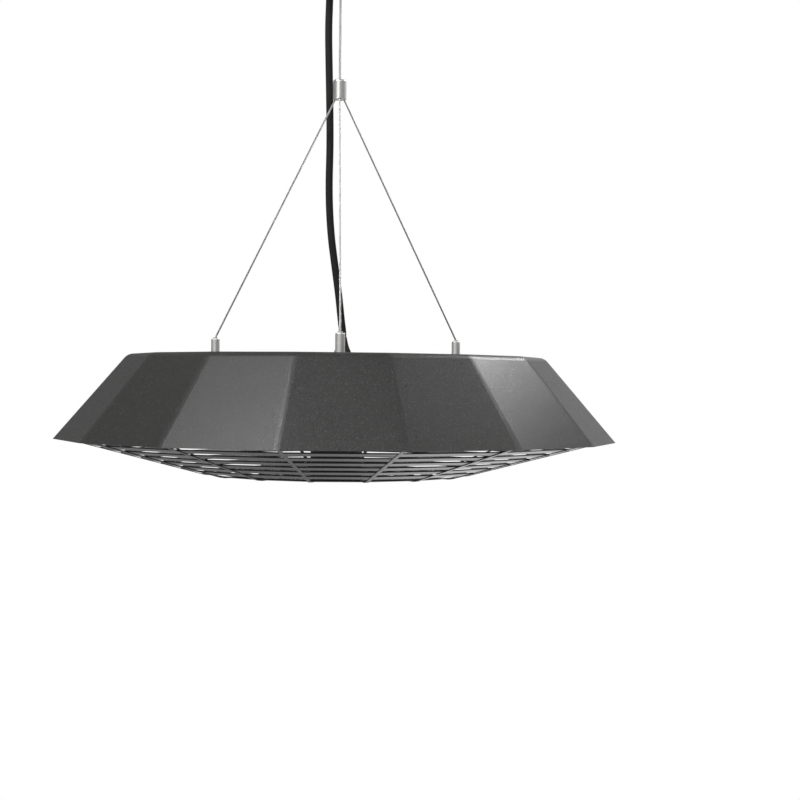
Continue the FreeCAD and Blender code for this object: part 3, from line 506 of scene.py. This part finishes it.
def power_cord():
    rise = CORD_HIGH.z - CORD_LOW.z
    between = [Vector((x, y, CORD_LOW.z + rise * share)) for x, y, share in CORD_POINTS]
    route = [CORD_LOW - CORD_LEAD, CORD_LOW] + between + [CORD_HIGH, CORD_HIGH + CORD_LEAD]
    line = route_points(route)
    mesh = tube_mesh([route], CORD_D / 2, sides=6, kind="NURBS")
    cord = piece("power_cord_sheath", mesh, CORD_RUBBER)
    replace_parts(cord, "power_cord")
    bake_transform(cord)


def cord_boot(name, node, spot, length, up, body):
    """Flared strain relief with closed ends, pointing up or down from its sheet."""
    bm = bmesh.new()
    outline = [(0.0, 0.0)] + BOOT_PROFILE + [(0.0, 1.0)]
    verts = [bm.verts.new((radius, 0, share * length)) for radius, share in outline]
    edges = [bm.edges.new(pair) for pair in zip(verts, verts[1:])]
    bmesh.ops.spin(bm, geom=verts + edges, axis=(0, 0, 1), cent=(0, 0, 0), angle=2 * math.pi,
                   steps=BOOT_STEPS, use_merge=True)
    bmesh.ops.remove_doubles(bm, verts=bm.verts, dist=1e-6)
    if not up:
        half_turn = Matrix.Rotation(math.pi, 3, "X")
        bmesh.ops.rotate(bm, verts=bm.verts, cent=(0, 0, 0), matrix=half_turn)
    bmesh.ops.translate(bm, verts=bm.verts, vec=spot)
    bmesh.ops.recalc_face_normals(bm, faces=bm.faces)
    mesh = bpy.data.meshes.new(name)
    bm.to_mesh(mesh)
    bm.free()
    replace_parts(piece(name, mesh, CORD_RUBBER, body), node)


# Steel ropes

STRANDS = 6          # round one more as the core
STRANDS_ACROSS = 3
LAY = 7              # rope's diameters in one turn of its strands
ROPE_STEPS = 100
MAIN_D = 0.0026
MAIN_EXIT_Z = -0.0803
MAIN_LEVELS = (-0.0683, MAIN_EXIT_Z, -0.127, -0.1707, -0.1855)
BRIDLE_D = 0.002
BRIDLE_TAIL = 0.016  # below the shade's top
BALL_AT_R = 0.0031
BALL_Z = COUPLER_Z + 0.0045
BEND_Z = -0.4487
BEND_REACH = 0.004
LEG_SHARES = (0.34, 0.67)


def rope(name, node, route, thick):
    """Laid rope: outer strands twisted round a core, along a route."""
    line = route_points(route, steps=ROPE_STEPS)
    strand_r = thick / 2 / STRANDS_ACROSS
    lines = [twisted(line, thick / 2 - strand_r, LAY * thick, 2 * math.pi * k / STRANDS)
             for k in range(STRANDS)]
    mesh = tube_mesh(lines + [line], strand_r, sides=1)
    laid = piece(name, mesh, ROPE_WIRE, "heater")
    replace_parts(laid, node)


def ropes():
    rope("main_rope", "main_wire", [(0, 0, z) for z in MAIN_LEVELS], MAIN_D)
    for name, angle in GRIPPER_ANGLES.items():
        tail = around(GRIPPER_CIRCLE_R, angle, TOP_Z - BRIDLE_TAIL)
        bend = around(GRIPPER_CIRCLE_R, angle, BEND_Z)
        ball = around(BALL_AT_R, angle, BALL_Z)
        slant = (ball - bend).normalized()
        route = [tail, bend - Vector((0, 0, BEND_REACH)), bend, bend + slant * BEND_REACH]
        route += [bend + (ball - bend) * share for share in LEG_SHARES] + [ball]
        rope("bridle_rope_" + name, "bridle_wire_" + name, route, BRIDLE_D)


# Springs in the grippers, with their ends above the shade's top

SPRING_LOW = 0.0040
SPRING_HIGH = 0.0159
SPRING_R = 0.00275
SPRING_WIRE_R = 0.00040
SPRING_TURNS = 8
SPRING_STEPS = SPRING_TURNS * 14


def springs():
    height = SPRING_HIGH - SPRING_LOW
    for name, angle in GRIPPER_ANGLES.items():
        foot = around(GRIPPER_CIRCLE_R, angle, TOP_Z)
        line = []
        for k in range(SPRING_STEPS + 1):
            turn = 2 * math.pi * SPRING_TURNS * k / SPRING_STEPS
            rise = SPRING_LOW + SPRING_WIRE_R + (height - 2 * SPRING_WIRE_R) * k / SPRING_STEPS
            line.append(foot + Vector((SPRING_R * math.cos(turn), SPRING_R * math.sin(turn), rise)))
        mesh = tube_mesh([line], SPRING_WIRE_R)
        coil = piece("gripper_coil_" + name, mesh, ROPE_WIRE, "heater")
        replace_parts(coil, "gripper_spring_" + name)
        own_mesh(coil)


# Heating coils inside the quartz tubes

TUBE_RINGS = (0.085, 0.145)
TUBE_Z = RIM_Z + 0.024
TUBE_BEND_R = 0.013
TUBE_END_X = 0.017
CAP_Z = RIM_Z + 0.056
COIL_R = 0.0017
COIL_PITCH = 0.0042
COIL_STEP = 0.0006
COIL_WIRE_R = 0.0003
TAIL_FOOT = (0.0035, 0.001, 0.004)    # sideways, forward and above the ring, where a coil starts


def heating_coils():
    """A coil along each ring, with straight tails up into its caps."""
    lines = []
    for ring_r in TUBE_RINGS:
        reach = math.hypot(ring_r, TUBE_BEND_R)
        foot_turn = math.atan2(TUBE_BEND_R, ring_r) + math.asin(TUBE_END_X / reach)
        sweep = 2 * math.pi - 2 * foot_turn
        count = round(ring_r * sweep / COIL_STEP)
        ring = []
        for k in range(count + 1):
            angle = math.pi / 2 + foot_turn + sweep * k / count
            ring.append(Vector((ring_r * math.cos(angle), ring_r * math.sin(angle), TUBE_Z)))
        coil = twisted(ring, COIL_R, COIL_PITCH, 0.0)
        y = math.sqrt(reach ** 2 - TUBE_END_X ** 2)
        left = [
            Vector((-TUBE_END_X, y, CAP_Z)),
            Vector((-TUBE_END_X, y, TUBE_Z + TUBE_BEND_R)),
            Vector((-TUBE_END_X - TAIL_FOOT[0], y - TAIL_FOOT[1], TUBE_Z + TAIL_FOOT[2])),
        ]
        right = [Vector((-p.x, p.y, p.z)) for p in reversed(left)]
        lines.append(left + coil + right)
    mesh = tube_mesh(lines, COIL_WIRE_R, sides=0)
    made = piece("heating_coils", mesh, HEATING_WIRE, "heater")
    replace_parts(made, "filaments")


power_cord()
cord_boot("cord_boot", "cord_grip", (CORD_LOW.x, CORD_LOW.y, TOP_Z), BOOT_L, True, "heater")
cord_boot("canopy_cord_boot", "canopy_cord_grip", (CORD_HIGH.x, CORD_HIGH.y, CANOPY_LOW_Z),
          CANOPY_BOOT_L, False, "ceiling_fitting")
ropes()
springs()
heating_coils()


# Camera, light and floor

# Lamps: direction from the heater, distance, width and watts
LAMPS = {
    "key": ((0.59, 0.41, 0.70), 1.66, 0.4, 12.7),
    "left": ((-0.43, -0.43, 0.80), 2.1, 0.5, 31),
    "front": ((-0.50, -1.0, 0.45), 3.0, 2.0, 18),
    "high": ((0.24, -0.60, 0.76), 2.0, 0.5, 4),
}
LAMPS_AIM = Vector((0, 0, -0.5))
FLOOR_Z = -2.5
FLOOR_R = 3.0
RIGHT = (1.0, 0.0, 0.0)
# How the white room shows in shine: dimmer to the left, and dark above a plane that leans back
FILL = 0.26
DIM_SIDE = 0.33
DIM_FLOOR = 0.25
LEANING_UP = (0.0, -0.3, 1.0)


def camera():
    made = bpy.data.objects.new("camera", bpy.data.cameras.new("camera"))
    bpy.context.scene.collection.objects.link(made)
    made.data.sensor_width = SENSOR_W
    made.data.lens = LENS
    turn = Matrix.Rotation(math.radians(-HEADING), 4, "Z")
    turn = turn @ Matrix.Rotation(math.radians(90 - PITCH), 4, "X")
    turn = turn @ Matrix.Rotation(math.radians(ROLL), 4, "Z")
    made.matrix_world = Matrix.Translation(EYE) @ turn
    bpy.context.scene.camera = made


def lamp(name, towards, distance, size, power):
    """Soft square light that faces the heater."""
    made = bpy.data.objects.new(name, bpy.data.lights.new(name, "AREA"))
    bpy.context.scene.collection.objects.link(made)
    made.data.size = size
    made.data.energy = power
    direction = Vector(towards).normalized()
    made.location = LAMPS_AIM + direction * distance
    made.rotation_euler = direction.to_track_quat("Z", "Y").to_euler()
    made.visible_camera = False


def rays(tree):
    """1 for rays from the camera, through glass and off shine, by kind."""
    kinds = ("Is Camera Ray", "Is Transmission Ray", "Is Glossy Ray")
    return [tree.node("ShaderNodeLightPath", out=kind) for kind in kinds]


def studio():
    world = bpy.data.worlds.new("studio")
    bpy.context.scene.world = world
    world.use_nodes = True
    world.node_tree.nodes.clear()
    tree = Signal(world.node_tree)
    way = tree.node("ShaderNodeTexCoord", out="Generated")
    lit_side = DIM_SIDE + (1 - DIM_SIDE) * band(tree, along(tree, way, RIGHT), 0.0, 0.13)
    backdrop = (1.0 - band(tree, along(tree, way, LEANING_UP), -0.2, 0.3)) * lit_side
    camera_ray, through_ray, glossy_ray = rays(tree)
    seen = camera_ray + through_ray + glossy_ray * backdrop
    level = tree.maths("MAXIMUM", seen, FILL)
    glow = tree.node("ShaderNodeBackground", sockets={"Color": grey(1.0), "Strength": level})
    tree.node("ShaderNodeOutputWorld", sockets={"Surface": glow})
    for name, settings in LAMPS.items():
        lamp(name, *settings)


def floor():
    material, tree = blank("studio_floor")
    mottle = noise(tree, place(tree), 3)
    mirrored = DIM_FLOOR + (1 - DIM_FLOOR) * band(tree, along(tree, place(tree), RIGHT), -0.8, 1.6)
    camera_ray, through_ray, glossy_ray = rays(tree)
    white = camera_ray + through_ray + glossy_ray * mirrored
    surface(
        tree,
        Base_Color=tint(tree, mottle, grey(0.86), grey(0.88)),
        Roughness=0.9,
        Emission_Color=tint(tree, white, grey(0.0), grey(1.0)),
        Emission_Strength=1.0,
    )
    bm = bmesh.new()
    bmesh.ops.create_circle(bm, cap_ends=True, radius=FLOOR_R, segments=96)
    bmesh.ops.translate(bm, verts=bm.verts, vec=(0, 0, FLOOR_Z))
    mesh = bpy.data.meshes.new("floor")
    bm.to_mesh(mesh)
    bm.free()
    mesh.materials.append(material)
    made = bpy.data.objects.new("floor", mesh)
    bpy.context.scene.collection.objects.link(made)


camera()
studio()
floor()
bpy.context.scene.view_settings.view_transform = "Standard"
